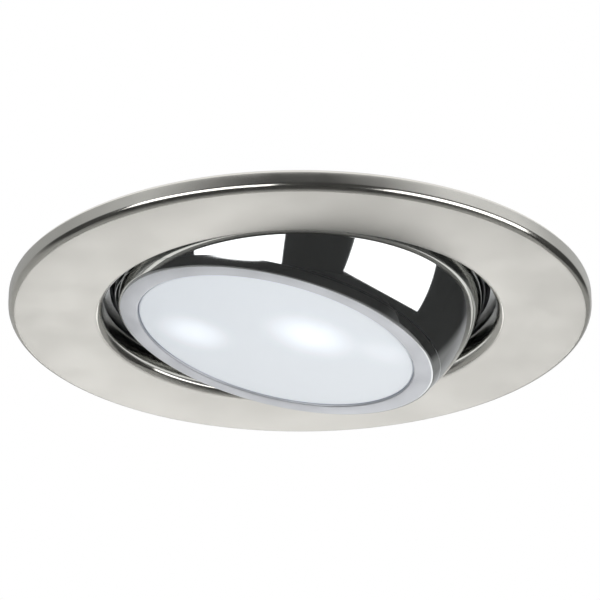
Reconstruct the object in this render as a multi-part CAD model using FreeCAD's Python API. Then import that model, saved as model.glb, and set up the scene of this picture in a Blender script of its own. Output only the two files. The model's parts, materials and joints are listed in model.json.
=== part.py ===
import FreeCAD, Part
import math
import os

# Adjustable recessed soffit downlight, in millimetres.
# Z points up into the soffit. The plane z = 0 is the underside of the soffit board, where the flange
# seats, and the Z axis is the middle of the cut-out. The room is below, at negative z.
#
# A pressed flange and a die-cast collar are fixed in the soffit by two folding spring clips. A swivel
# ring turns in the collar about Z, and a ball that holds the lamp engine tilts in the swivel ring about
# Y, on two screws. The ball is modelled at the tilt at which the light is shown.

V = FreeCAD.Vector
ORIGIN = V(0, 0, 0)
AXIS_X = V(1, 0, 0)
AXIS_Y = V(0, 1, 0)
AXIS_Z = V(0, 0, 1)

# ---- driving sizes -------------------------------------------------------------------------------

# fits and gaps
FIT = 0.03              # between pieces that seat in one another and don't move
RUN = 0.05              # radial play of a pin or screw in its bearing
SLIDE = 0.3             # between a turning face and the fixed face beside it
BALL_PLAY = 0.4         # between the ball and its socket
SEAL_PLAY = 0.1         # round a seal or washer that lies loose in its place
SOFT_EDGE = 0.3         # rounding of turned and cast edges
FINE_EDGE = 0.2         # rounding of thin edges

# ball and its place
BALL_R = 30.2           # outside radius of the ball
BALL_WALL = 1.4
BALL_BACK = 10.3        # height of the ball's rear edge above the pivot
PIVOT_ABOVE_FACE = 12.75
TILT_SHOWN = 13.15      # degrees, glass turned towards -X

# flange
FACE_DROP = 3.1         # the face lies this far below the soffit
SHEET = 1.0             # metal thickness of the pressed flange
FLANGE_LAP = 8.5        # how far the flange covers the soffit outside the spigot
SHOULDER_R = 1.2        # polished rounding round the face
BACK_EDGE_R = 0.5       # rounding of the edge that meets the soffit
HOLE_PLAY = 0.3         # the hole is this much larger in radius than the ball
HOLE_BEND_R = 0.5       # inside radius of the bend from the face into the neck
SPUN_LIP = 1.5          # reach of the lip spun over the collar's ledge
SPUN_LIP_T = 0.7

# collar
COLLAR_WALL = 1.6
COLLAR_LEDGE = 0.6      # height of the ledge that the swivel ring runs on
SPIGOT_LAND = 4.5       # height of the land that centres the light in the cut-out
SPIGOT_RELIEF = 0.4     # how much thinner the collar is above that land
COLLAR_FOOT_LAP = 0.5   # how far the collar's foot reaches past the land, inside the flange

# soffit gasket
GASKET_GAP = 0.4
GASKET_GROOVE = 0.4     # depth of the groove between the two sealing beads

# swivel ring
SWIVEL_WALL = 4.0
SWIVEL_SHOULDER = 1.4   # width of the shoulder under the retaining ring
SWIVEL_TOP_GAP = 0.2    # its top lies this far below the collar's
NOTCH_COUNT = 4         # spanner notches in the top of the swivel ring
NOTCH_W = 4.0
NOTCH_DEEP = 1.2

# retaining ring
RETAINER_T = 0.8
RETAINER_BITE = 0.7     # depth of its groove in the collar
RETAINER_GAP_DEG = 14.0
RETAINER_BELOW_TOP = 0.95
RETAINER_OVER_HEAD = 0.2  # between it and the heads of the pivot screws

# swivel stop
STOP_PIN_R = 0.9
STOP_REACH = 1.2        # how far the pin reaches into the groove
STOP_BELOW_SEAT = 0.35  # metal between the groove and the pivot screws' seats
STOP_GROOVE_DEEP = 1.5
STOP_WEB_DEG = 10.0     # the web that interrupts the groove

# pivot screws
PIVOT_R = 1.5
PIVOT_HEAD_R = 2.8
PIVOT_HEAD_T = 1.4
PIVOT_HEAD_SUNK = 0.3
PIVOT_SOCKET_R = 0.9
PIVOT_REACH = 3.6       # how far the screw reaches into the ball
WASHER_T = 0.5
BUSH_WALL = 0.95
BUSH_LENGTH = 5.0
BOSS_WALL = 1.4

# front ring and glass
RING_FRONT = 16.93      # distance of the ring's front from the pivot
RING_WIDTH = 3.23       # of the ring's front, seen from below
RING_LIP_T = 1.33
RING_SEAM = 0.15        # shadow gap between the ring and the ball
RING_SKIRT_WALL = 1.2
RING_SKIRT = 2.8        # length of the skirt inside the ball
RING_EDGE_R = 0.6
RING_INSET = 0.1        # the ring's side is turned this much smaller than the ball
LENS_SETBACK = 0.25     # the glass lies this far behind the ring's front
LENS_RIM = 1.2          # how far the rim of the glass reaches behind the ring
LENS_RIM_T = 1.4
LENS_GASKET_T = 0.8
LENS_GASKET_W = 1.5
LENS_EDGE_R = 0.35

# lamp engine
LED_COUNT = 3
LED_SIZE = 3.4
LED_T = 0.8
BOARD_INSET = 1.1       # from the pedestal's edge to the board's
BOARD_T = 1.4
PAD_T = 0.6
BOARD_SCREW_EDGE = 4.1  # from the board's edge to the middle of a screw
CUP_WALL = 2.28         # between a cup's mouth and the reflector's outside
CUP_WEB = 1.05          # between two cups' mouths
CUP_BULGE = 0.8         # how far a cup's wall bows out from straight
CUP_PLAY = 0.5          # between a light source's corners and the cup's throat
REFLECTOR_FLANGE_T = 1.2
REFLECTOR_RELIEF = 0.7
WIRE_HOLE_PLAY = 0.4    # the wire hole is this much larger in radius than the grommet's bore

# heat sink
SEAT_ABOVE_BOSS = 0.1   # its seat lies this far above the pivot bosses
SINK_FLANGE_GAP = 1.5   # between its flange and the inside of the ball
SINK_FLANGE_T = 2.0
LEDGE_LAP = 3.2         # how far the flange lies on the ball's ledge
LEDGE_T = 1.8
PEDESTAL_GAP = 1.8      # between the pedestal and the ledge's bore, filled by the seal
PEDESTAL_DEPTH = 7.0
FIN_COUNT = 18
FIN_T = 1.2
FIN_ROOT = 1.4          # how deep a fin sits in its slot in the core
FIN_HEIGHT = 18.0       # above the flange
FIN_HEAD_GAP = 2.4      # between the fins and the heads of the screws
FIN_CHAMFER_R = 6.0
FIN_CHAMFER_H = 9.0
FIN_CROWN_R = 1.0
FIN_STEP = 2.0          # the fins' crown starts this far outside the core
FIN_STEP_R = 1.5
FIN_BELOW_CORE = 1.0    # the fins' inner edge ends this far below the core's top
CORE_HEIGHT = 11.0      # above the flange
CORE_EDGE_R = 0.5
SINK_SCREW_COUNT = 4

# small screws
SCREW_R = 1.0
SCREW_HEAD_R = 1.6
SCREW_HEAD_T = 1.2
SCREW_DOME_R = 0.42
SCREW_SOCKET_R = 0.6
SCREW_LENGTH = 5.0

# cable grommet
GROMMET_BORE_R = 2.6
GROMMET_WALL = 1.6
GROMMET_SEAT = 4.0
GROMMET_LAP = 1.4       # how far its flange covers the core
GROMMET_FLANGE_T = 2.0
GROMMET_EDGE_R = 0.8
CORE_RIM = 1.4          # width of the core's end round the grommet's flange

# spring clips
WIRE_R = 0.6
COIL_PLAY = 0.3         # between the coils and their pin
COIL_TURNS = 3          # whole turns in each of a spring's two coils
COIL_PITCH = 1.9
COIL_START = 1.4        # from the middle of the spring to the first turn
TAIL_LENGTH = 3.0
ARM_LENGTH = 18.2
ARM_DEG = -60.0         # direction of the arm below level
ARM_BEND_R = 2.4
PIN_R = 1.3
PIN_INSET = 4.0         # the pin lies this far inside the spigot's radius
PIN_ABOVE_COLLAR = 6.9
PIN_HEAD_R = 1.8
PIN_HEAD_T = 0.6
PIN_RIVET_LAP = 0.35    # how far the riveted end spreads past the pin
LUG_T = 1.5
LUG_GAP = 0.5
LUG_EDGE = 0.7          # metal between the pin's hole and the lug's inner side
LUG_CROWN = 1.9         # metal above the pin's hole
LUG_ROOT = 0.8          # how deep the lug's root stands in the collar's wall
SLEEVE_WALL = 0.65
SLEEVE_END_GAP = 1.7    # between the sleeve's end and the bend of the arm

# ---- sizes that follow from them -----------------------------------------------------------------

def sphere_r(radius, height):
    """Radius of a sphere's circle at a height above or below its middle."""
    return math.sqrt(radius * radius - height * height)


# places in the soffit, from the Z axis and from z = 0
FACE_Z = -FACE_DROP
PIVOT_Z = FACE_Z + PIVOT_ABOVE_FACE
HOLE_R = BALL_R + HOLE_PLAY
NECK_R = HOLE_R + SHEET
SOCKET_R = BALL_R + BALL_PLAY
SWIVEL_R = SOCKET_R + SWIVEL_WALL
COLLAR_BORE_R = SWIVEL_R + SLIDE
SPIGOT_R = COLLAR_BORE_R + COLLAR_WALL
UPPER_R = SPIGOT_R - SPIGOT_RELIEF
FLANGE_R = SPIGOT_R + FLANGE_LAP
COLLAR_FOOT_R = SPIGOT_R + COLLAR_FOOT_LAP
FLANGE_BACK_Z = FACE_Z + SHEET
COLLAR_TOP = PIVOT_Z + PIVOT_HEAD_R + RETAINER_OVER_HEAD + RETAINER_T + RETAINER_BELOW_TOP

SPUN_LIP_R = NECK_R + SPUN_LIP
SWIVEL_BOTTOM = COLLAR_LEDGE + SPUN_LIP_T + SLIDE
SWIVEL_TOP = COLLAR_TOP - SWIVEL_TOP_GAP
RETAINER_TOP = COLLAR_TOP - RETAINER_BELOW_TOP
RETAINER_BOTTOM = RETAINER_TOP - RETAINER_T
SWIVEL_SHOULDER_Z = RETAINER_BOTTOM - SLIDE
SWIVEL_NECK_R = SWIVEL_R - SWIVEL_SHOULDER
STOP_GROOVE_TOP = PIVOT_Z - PIVOT_HEAD_R - SLIDE - STOP_BELOW_SEAT
STOP_HEIGHT = STOP_GROOVE_TOP - SLIDE - STOP_PIN_R

# in the ball, from the pivot
BALL_INSIDE_R = BALL_R - BALL_WALL
LENS_R = sphere_r(BALL_R, RING_FRONT) - RING_WIDTH
RING_SEAT = RING_FRONT - RING_LIP_T
LENS_FRONT = RING_FRONT - LENS_SETBACK
LENS_RIM_R = LENS_R + LENS_RIM
LENS_BACK = RING_SEAT - FIT - LENS_RIM_T
SKIRT_BORE_R = LENS_RIM_R + FIT
SKIRT_R = SKIRT_BORE_R + RING_SKIRT_WALL
BUSH_R = PIVOT_R + RUN + BUSH_WALL
BOSS_R = BUSH_R + BOSS_WALL
BOSS_FACE = BALL_R - BUSH_LENGTH - FIT

SINK_SEAT = BOSS_R + SEAT_ABOVE_BOSS
SINK_FLANGE_TOP = SINK_SEAT + SINK_FLANGE_T
SINK_FLANGE_R = sphere_r(BALL_INSIDE_R, SINK_FLANGE_TOP) - SINK_FLANGE_GAP
LEDGE_BORE_R = SINK_FLANGE_R - LEDGE_LAP
LEDGE_BOTTOM = SINK_SEAT - LEDGE_T
SINK_SCREW_CIRCLE_R = LEDGE_BORE_R + LEDGE_LAP / 2
PEDESTAL_R = LEDGE_BORE_R - PEDESTAL_GAP
PEDESTAL_DROP = PEDESTAL_DEPTH - SINK_SEAT
FIN_R = SINK_SCREW_CIRCLE_R - SCREW_HEAD_R - FIN_HEAD_GAP
FIN_TOP = SINK_FLANGE_TOP + FIN_HEIGHT
GROMMET_SEAT_R = GROMMET_BORE_R + GROMMET_WALL
GROMMET_FLANGE_R = GROMMET_SEAT_R + GROMMET_LAP
CORE_R = GROMMET_FLANGE_R + CORE_RIM
CORE_TOP = SINK_FLANGE_TOP + CORE_HEIGHT
WIRE_HOLE_R = GROMMET_BORE_R + WIRE_HOLE_PLAY

PAD_BOTTOM = PEDESTAL_DROP + PAD_T
BOARD_BOTTOM = PAD_BOTTOM + BOARD_T
BOARD_R = PEDESTAL_R - BOARD_INSET
BOARD_SCREW_CIRCLE_R = BOARD_R - BOARD_SCREW_EDGE
LED_BOTTOM = BOARD_BOTTOM + LED_T
REFLECTOR_BOTTOM = LENS_BACK - LENS_GASKET_T
REFLECTOR_R = LENS_RIM_R - REFLECTOR_RELIEF
CUP_SPREAD = math.sin(math.pi / LED_COUNT)
LED_CIRCLE_R = (REFLECTOR_R - CUP_WALL + CUP_WEB / 2) / (1 + CUP_SPREAD)
CUP_MOUTH_R = LED_CIRCLE_R * CUP_SPREAD - CUP_WEB / 2
CUP_THROAT_R = LED_SIZE / math.sqrt(2) + CUP_PLAY

# spring clips
PIN_OUT = SPIGOT_R - PIN_INSET
PIN_UP = COLLAR_TOP + PIN_ABOVE_COLLAR
COIL_R = PIN_R + COIL_PLAY + WIRE_R
COIL_SPAN = COIL_START + COIL_PITCH * (COIL_TURNS + (90.0 - ARM_DEG) / 360.0)
LUG_INNER = PIN_OUT - PIN_R - LUG_EDGE
LUG_ROUND = PIN_R + LUG_CROWN
LUG_INSIDE_Y = COIL_SPAN + WIRE_R + LUG_GAP
LUG_OUTSIDE_Y = LUG_INSIDE_Y + LUG_T
SLEEVE_R = WIRE_R + SLEEVE_WALL
SLEEVE_LENGTH = 2 * (COIL_SPAN - ARM_BEND_R - SLEEVE_END_GAP)


# ---- helpers -------------------------------------------------------------------------------------

def polar(radius, degrees):
    """Point in the XY plane at a radius and an angle."""
    angle = math.radians(degrees)
    return V(radius * math.cos(angle), radius * math.sin(angle), 0)


def corner_arc(before, corner, after, radius):
    """Start, middle and end of the arc that rounds a corner."""
    to_before = (before - corner).normalize()
    to_after = (after - corner).normalize()
    half = to_before.getAngle(to_after) / 2
    inward = (to_before + to_after).normalize()
    setback = radius / math.tan(half)
    centre = corner + inward * (radius / math.sin(half))
    return corner + to_before * setback, centre - inward * radius, corner + to_after * setback


def outline(*steps):
    """Closed wire in the XZ plane. A step (x, z) is a sharp corner and (x, z, radius) a rounded one.
    A step ("by", x, z) between two corners makes the run between them an arc through that point."""
    corners = []
    for step in steps:
        if step[0] == "by":
            corners[-1]["by"] = V(step[1], 0, step[2])
        else:
            radius = step[2] if len(step) > 2 else 0.0
            corners.append({"at": V(step[0], 0, step[1]), "radius": radius, "by": None})
    count = len(corners)
    edges = []
    for i, corner in enumerate(corners):
        before = corners[i - 1]["at"]
        after = corners[(i + 1) % count]["at"]
        corner["in"] = corner["out"] = corner["at"]
        if corner["radius"]:
            start, middle, end = corner_arc(before, corner["at"], after, corner["radius"])
            corner["in"], corner["out"] = start, end
            edges.append(Part.Arc(start, middle, end).toShape())
    for i, corner in enumerate(corners):
        following = corners[(i + 1) % count]
        if corner["by"]:
            edges.append(Part.Arc(corner["out"], corner["by"], following["in"]).toShape())
        else:
            edges.append(Part.LineSegment(corner["out"], following["in"]).toShape())
    return Part.Wire(Part.__sortEdges__(edges))


def turned(*steps):
    """Solid turned about the Z axis from a closed outline of (radius, height) steps."""
    return Part.Face(outline(*steps)).revolve(ORIGIN, AXIS_Z, 360)


def tube(outer, inner, bottom, top):
    """Plain round ring."""
    return turned((inner, bottom), (outer, bottom), (outer, top), (inner, top))


def around(shape, count, first=0.0):
    """Copies of a shape spaced evenly about the Z axis."""
    copies = []
    for i in range(count):
        copy = shape.copy()
        copy.rotate(ORIGIN, AXIS_Z, first + 360.0 * i / count)
        copies.append(copy)
    return copies


def cylinder(radius, height, at, axis):
    return Part.makeCylinder(radius, height, at, axis)


def seated_in_ball(shape):
    """A ball piece is drawn upright about the pivot, then tilted and raised into place."""
    placed = shape.copy()
    placed.rotate(ORIGIN, AXIS_Y, TILT_SHOWN)
    placed.translate(V(0, 0, PIVOT_Z))
    return placed


def opposite(shape):
    """The same piece on the other side of the light."""
    placed = shape.copy()
    placed.rotate(ORIGIN, AXIS_Z, 180)
    return placed


def small_screw():
    """Pan-head screw with a hexagon socket, head up, seat of the head at z = 0."""
    body = turned((0, -SCREW_LENGTH), (SCREW_R, -SCREW_LENGTH), (SCREW_R, 0), (SCREW_HEAD_R, 0),
                  (SCREW_HEAD_R, SCREW_HEAD_T, SCREW_DOME_R), (0, SCREW_HEAD_T))
    return body.cut(hexagon(SCREW_SOCKET_R, SCREW_HEAD_T).translated(V(0, 0, SCREW_HEAD_T / 2)))


def hexagon(radius, height):
    """Hexagonal prism standing on z = 0."""
    ring = [polar(radius, 60 * i) for i in range(6)]
    return Part.Face(Part.makePolygon(ring + ring[:1])).extrude(V(0, 0, height))


# ---- housing: what stays in the soffit -----------------------------------------------------------

def make_trim_bezel():
    """Pressed flange. Its neck is spun over the collar's ledge, which clamps the collar."""
    edge_inner = FLANGE_R - SHEET
    return turned(
        (FLANGE_R, 0, BACK_EDGE_R), (FLANGE_R, FACE_Z, SHOULDER_R),
        (HOLE_R, FACE_Z, HOLE_BEND_R + SHEET), (HOLE_R, COLLAR_LEDGE + SPUN_LIP_T, SHEET),
        (SPUN_LIP_R, COLLAR_LEDGE + SPUN_LIP_T), (SPUN_LIP_R, COLLAR_LEDGE),
        (NECK_R, COLLAR_LEDGE), (NECK_R, FLANGE_BACK_Z, HOLE_BEND_R),
        (edge_inner, FLANGE_BACK_Z, SOFT_EDGE), (edge_inner, 0))


def make_collar():
    """Die-cast collar with its ledge, its two pairs of spring lugs and the stop pin's hole."""
    groove_r = COLLAR_BORE_R + RETAINER_BITE
    bore = NECK_R + FIT
    ring = turned(
        (bore, FLANGE_BACK_Z + HOLE_BEND_R), (bore + HOLE_BEND_R, FLANGE_BACK_Z),
        (COLLAR_FOOT_R, FLANGE_BACK_Z), (COLLAR_FOOT_R, 0, FINE_EDGE),
        (SPIGOT_R, 0), (SPIGOT_R, SPIGOT_LAND), (UPPER_R, SPIGOT_LAND + SPIGOT_RELIEF),
        (UPPER_R, COLLAR_TOP, SOFT_EDGE), (COLLAR_BORE_R, COLLAR_TOP),
        (COLLAR_BORE_R, RETAINER_TOP), (groove_r, RETAINER_TOP), (groove_r, RETAINER_BOTTOM),
        (COLLAR_BORE_R, RETAINER_BOTTOM), (COLLAR_BORE_R, COLLAR_LEDGE), (bore, COLLAR_LEDGE))
    inside = cylinder(UPPER_R, 2 * PIN_UP, ORIGIN, AXIS_Z)
    for side in (1, -1):
        for facing in (1, -1):
            ring = ring.fuse(spring_lug(side, facing).common(inside))
    stop = cylinder(STOP_PIN_R + FIT, 2 * SPIGOT_R, V(0, 0, STOP_HEIGHT), AXIS_Y)
    return ring.cut(stop).removeSplitter()


def spring_lug(side, facing):
    """Upright ear that holds one end of a spring's pin. Its root stands on the collar's wall."""
    top = PIN_UP + LUG_ROUND
    lean = PIN_UP - LUG_ROUND
    clear = SWIVEL_TOP + 2 * SLIDE
    root = COLLAR_TOP - RETAINER_BELOW_TOP / 2
    ear = Part.Face(outline(
        (LUG_INNER, clear), (LUG_INNER, lean), (PIN_OUT - LUG_ROUND / 2, top, LUG_ROUND / 2),
        (PIN_OUT + LUG_ROUND, top, LUG_ROUND), (PIN_OUT + LUG_ROUND, root),
        (COLLAR_BORE_R - LUG_ROOT, root), (COLLAR_BORE_R - LUG_ROOT, clear)))
    ear = ear.extrude(V(0, LUG_T, 0))
    ear.translate(V(0, LUG_INSIDE_Y, 0))
    ear = ear.cut(cylinder(COLLAR_BORE_R, clear, ORIGIN, AXIS_Z))
    ear = ear.cut(cylinder(PIN_R + FIT, 2 * LUG_OUTSIDE_Y, V(PIN_OUT, 0, PIN_UP), AXIS_Y))
    if facing < 0:
        ear = ear.mirror(ORIGIN, AXIS_Y)
    return ear if side > 0 else opposite(ear)


def make_soffit_gasket():
    """Foam ring in the flange's hollow back, with two sealing beads, flush with the soffit plane."""
    inner = COLLAR_FOOT_R + GASKET_GAP
    outer = FLANGE_R - SHEET - GASKET_GAP
    middle = (inner + outer) / 2
    return turned((inner, FLANGE_BACK_Z), (outer, FLANGE_BACK_Z), (outer, 0), (middle + GASKET_GROOVE, 0),
                  (middle, -GASKET_GROOVE), (middle - GASKET_GROOVE, 0), (inner, 0))


def make_glide_ring():
    """Plastic ring on the collar's ledge, under the swivel ring."""
    return tube(COLLAR_BORE_R - SLIDE / 2, SPUN_LIP_R + SLIDE, COLLAR_LEDGE, SWIVEL_BOTTOM)


def make_retaining_ring():
    """Snap ring that keeps the swivel ring down, with a gap so that it can be squeezed."""
    inner = SWIVEL_NECK_R + SLIDE
    outer = COLLAR_BORE_R + RETAINER_BITE - FIT
    section = Part.Face(outline((inner, RETAINER_BOTTOM + FIT), (outer, RETAINER_BOTTOM + FIT),
                                (outer, RETAINER_TOP - FIT), (inner, RETAINER_TOP - FIT)))
    ring = section.revolve(ORIGIN, AXIS_Z, 360.0 - RETAINER_GAP_DEG)
    ring.rotate(ORIGIN, AXIS_Z, 90 + RETAINER_GAP_DEG / 2)
    return ring


def make_swivel_stop_pin():
    """Pin through the collar's wall into the swivel ring's groove."""
    inner = SWIVEL_R - STOP_REACH
    return cylinder(STOP_PIN_R, UPPER_R - inner, V(0, inner, STOP_HEIGHT), AXIS_Y)


def make_spring_pin():
    """Pin with a head at one end and a riveted end at the other."""
    inner = -LUG_OUTSIDE_Y
    outer = LUG_OUTSIDE_Y
    rivet_r = PIN_R + PIN_RIVET_LAP
    pin = turned((0, inner - PIN_HEAD_T), (PIN_HEAD_R, inner - PIN_HEAD_T, SOFT_EDGE), (PIN_HEAD_R, inner),
                 (PIN_R, inner), (PIN_R, outer), (rivet_r, outer),
                 (rivet_r, outer + PIN_HEAD_T, PIN_RIVET_LAP), (0, outer + PIN_HEAD_T))
    pin.rotate(ORIGIN, AXIS_X, -90)
    pin.translate(V(PIN_OUT, 0, PIN_UP))
    return pin


# ---- swivel: turns in the collar about Z ---------------------------------------------------------

def make_swivel_ring():
    """Ring with the ball's socket, the pivot screws' seats, and the stop groove with its web."""
    socket_bottom = sphere_r(SOCKET_R, PIVOT_Z - SWIVEL_BOTTOM)
    halfway = (SWIVEL_BOTTOM + PIVOT_Z) / 2
    ring = turned(
        (socket_bottom, SWIVEL_BOTTOM), (SWIVEL_R, SWIVEL_BOTTOM), (SWIVEL_R, SWIVEL_SHOULDER_Z),
        (SWIVEL_NECK_R, SWIVEL_SHOULDER_Z), (SWIVEL_NECK_R, SWIVEL_TOP), (SOCKET_R, SWIVEL_TOP, SOFT_EDGE),
        (SOCKET_R, PIVOT_Z), ("by", sphere_r(SOCKET_R, PIVOT_Z - halfway), halfway))
    web = STOP_WEB_DEG / 2
    floor = SWIVEL_R - STOP_GROOVE_DEEP
    bottom = STOP_HEIGHT - STOP_PIN_R - SLIDE
    section = Part.Face(outline((floor, bottom), (COLLAR_BORE_R, bottom),
                                (COLLAR_BORE_R, STOP_GROOVE_TOP), (floor, STOP_GROOVE_TOP)))
    groove = section.revolve(ORIGIN, AXIS_Z, 360.0 - 2 * web)
    groove.rotate(ORIGIN, AXIS_Z, -90 + web)
    ring = ring.cut(groove)
    for side in (1, -1):
        axis = V(0, side, 0)
        seat = SWIVEL_R - PIVOT_HEAD_SUNK - PIVOT_HEAD_T - WASHER_T
        ring = ring.cut(cylinder(PIVOT_R + RUN, SWIVEL_R, V(0, 0, PIVOT_Z), axis))
        ring = ring.cut(cylinder(PIVOT_HEAD_R + SLIDE, SWIVEL_R, V(0, side * seat, PIVOT_Z), axis))
    notch = Part.makeBox(2 * SWIVEL_WALL, NOTCH_W, 2 * NOTCH_DEEP,
                         V(SWIVEL_NECK_R - SWIVEL_WALL, -NOTCH_W / 2, SWIVEL_TOP - NOTCH_DEEP))
    for cutter in around(notch, NOTCH_COUNT, 45):
        ring = ring.cut(cutter)
    return ring


def make_pivot_screw(side):
    """Shoulder screw from the swivel ring into the ball. Its head is sunk in the ring."""
    head_out = SWIVEL_R - PIVOT_HEAD_SUNK
    head_in = head_out - PIVOT_HEAD_T
    tip = BALL_R - PIVOT_REACH
    screw = turned((0, tip), (PIVOT_R, tip, SOFT_EDGE), (PIVOT_R, head_in), (PIVOT_HEAD_R, head_in),
                   (PIVOT_HEAD_R, head_out, SOFT_EDGE), (0, head_out))
    socket = hexagon(PIVOT_SOCKET_R, PIVOT_HEAD_T)
    screw = screw.cut(socket.translated(V(0, 0, head_out - PIVOT_HEAD_T / 2)))
    screw.rotate(ORIGIN, AXIS_X, -90 * side)
    screw.translate(V(0, 0, PIVOT_Z))
    return screw


def make_wave_washer(side):
    """Spring washer under the pivot screw's head, which sets how stiffly the ball tilts."""
    bottom = SWIVEL_R - PIVOT_HEAD_SUNK - PIVOT_HEAD_T - WASHER_T
    washer = tube(PIVOT_HEAD_R - SEAL_PLAY, PIVOT_R + SEAL_PLAY, bottom, bottom + WASHER_T)
    washer.rotate(ORIGIN, AXIS_X, -90 * side)
    washer.translate(V(0, 0, PIVOT_Z))
    return washer


# ---- eyeball: tilts about Y. Heights here are from the pivot, with the glass facing down ---------

def make_eyeball_shell():
    """Ball open at the front and back, with pivot bosses and a ledge for the heat sink inside."""
    inner = BALL_INSIDE_R
    front = -(RING_SEAT - RING_SEAM)
    bore = SKIRT_R + FIT
    step = front + RING_SKIRT + RING_SEAM
    shell = turned(
        (bore, front), (sphere_r(BALL_R, front), front),
        ("by", BALL_R, 0), (sphere_r(BALL_R, BALL_BACK), BALL_BACK),
        (sphere_r(inner, BALL_BACK), BALL_BACK),
        ("by", sphere_r(inner, (BALL_BACK + SINK_SEAT) / 2), (BALL_BACK + SINK_SEAT) / 2),
        (sphere_r(inner, SINK_SEAT), SINK_SEAT), (LEDGE_BORE_R, SINK_SEAT), (LEDGE_BORE_R, LEDGE_BOTTOM),
        (sphere_r(inner, LEDGE_BOTTOM), LEDGE_BOTTOM),
        ("by", sphere_r(inner, (LEDGE_BOTTOM + step) / 2), (LEDGE_BOTTOM + step) / 2),
        (sphere_r(inner, step), step), (bore, step))
    ball = Part.makeSphere(BALL_R - BALL_WALL / 2)
    for side in (1, -1):
        axis = V(0, side, 0)
        boss = cylinder(BOSS_R, BALL_R, V(0, side * BOSS_FACE, 0), axis).common(ball)
        shell = shell.fuse(boss)
        shell = shell.cut(cylinder(BUSH_R + FIT, BALL_R, V(0, side * BOSS_FACE / 2, 0), axis))
    screw_hole = cylinder(SCREW_R + FIT, 2 * LEDGE_T, V(SINK_SCREW_CIRCLE_R, 0, LEDGE_BOTTOM - LEDGE_T / 2),
                          AXIS_Z)
    for hole in around(screw_hole, SINK_SCREW_COUNT, 45):
        shell = shell.cut(hole)
    return shell.removeSplitter()


def make_pivot_bush(side):
    """Plastic bush in the ball's boss, which turns on the pivot screw."""
    bush = tube(BUSH_R, PIVOT_R + RUN, BOSS_FACE, BALL_R - BALL_WALL / 4)
    bush.rotate(ORIGIN, AXIS_X, -90 * side)
    return bush


def make_front_ring():
    """Ring that screws into the ball and holds the glass."""
    edge_r = sphere_r(BALL_R, RING_SEAT) - RING_INSET
    return turned(
        (LENS_R, -RING_FRONT, FINE_EDGE), (sphere_r(BALL_R, RING_FRONT), -RING_FRONT, RING_EDGE_R),
        (edge_r, -RING_SEAT), (SKIRT_R, -RING_SEAT), (SKIRT_R, -RING_SEAT + RING_SKIRT, FINE_EDGE),
        (SKIRT_BORE_R, -RING_SEAT + RING_SKIRT), (SKIRT_BORE_R, -RING_SEAT), (LENS_R, -RING_SEAT))


def make_front_glass():
    """Frosted glass with a stepped rim that the ring's lip holds."""
    face_r = LENS_R - 2 * FIT
    back = -LENS_BACK
    step = back - LENS_RIM_T
    return turned((0, -LENS_FRONT), (face_r, -LENS_FRONT, LENS_EDGE_R), (face_r, step), (LENS_RIM_R, step),
                  (LENS_RIM_R, back), (0, back))


def make_glass_gasket():
    return tube(LENS_RIM_R, LENS_RIM_R - LENS_GASKET_W, -LENS_BACK, -REFLECTOR_BOTTOM)


def led_places():
    """Middles of the light sources."""
    return [polar(LED_CIRCLE_R, 90 + 360.0 * i / LED_COUNT) for i in range(LED_COUNT)]


def board_screw_places():
    """Screws sit between the light sources."""
    return [polar(BOARD_SCREW_CIRCLE_R, 270 + 360.0 * i / LED_COUNT) for i in range(LED_COUNT)]


def make_reflector():
    """White moulding with one cup for each light source."""
    bottom = -REFLECTOR_BOTTOM
    top = -BOARD_BOTTOM
    body = turned((0, bottom), (LENS_RIM_R, bottom), (LENS_RIM_R, bottom + REFLECTOR_FLANGE_T),
                  (REFLECTOR_R, bottom + REFLECTOR_FLANGE_T), (REFLECTOR_R, top), (0, top))
    bowed = (CUP_MOUTH_R + CUP_THROAT_R) / 2 + CUP_BULGE
    cup = turned((0, bottom), (CUP_MOUTH_R, bottom), ("by", bowed, (bottom + top) / 2),
                 (CUP_THROAT_R, top), (0, top))
    for place in led_places():
        body = body.cut(cup.translated(place))
    pocket = cylinder(SCREW_HEAD_R + SLIDE, SCREW_HEAD_T + SLIDE, V(0, 0, top), V(0, 0, -1))
    for place in board_screw_places():
        body = body.cut(pocket.translated(place))
    return body


def make_led_emitters():
    """Group of light sources, each a separate solid on the board."""
    chip = Part.makeBox(LED_SIZE, LED_SIZE, LED_T, V(-LED_SIZE / 2, -LED_SIZE / 2, -LED_BOTTOM))
    return Part.makeCompound([chip.translated(place) for place in led_places()])


def make_led_board():
    board = tube(BOARD_R, WIRE_HOLE_R, -BOARD_BOTTOM, -PAD_BOTTOM)
    for place in board_screw_places():
        board = board.cut(cylinder(SCREW_R + FIT, 2 * BOARD_T, place - V(0, 0, BOARD_BOTTOM), AXIS_Z))
    return board


def make_thermal_pad():
    pad = tube(BOARD_R, WIRE_HOLE_R, -PAD_BOTTOM, -PEDESTAL_DROP)
    for place in board_screw_places():
        pad = pad.cut(cylinder(SCREW_R + FIT, 2 * PAD_T, place - V(0, 0, PAD_BOTTOM), AXIS_Z))
    return pad


def make_led_board_screws():
    screw = small_screw()
    screw.rotate(ORIGIN, AXIS_X, 180)
    return Part.makeCompound([screw.translated(place - V(0, 0, BOARD_BOTTOM))
                              for place in board_screw_places()])


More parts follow.
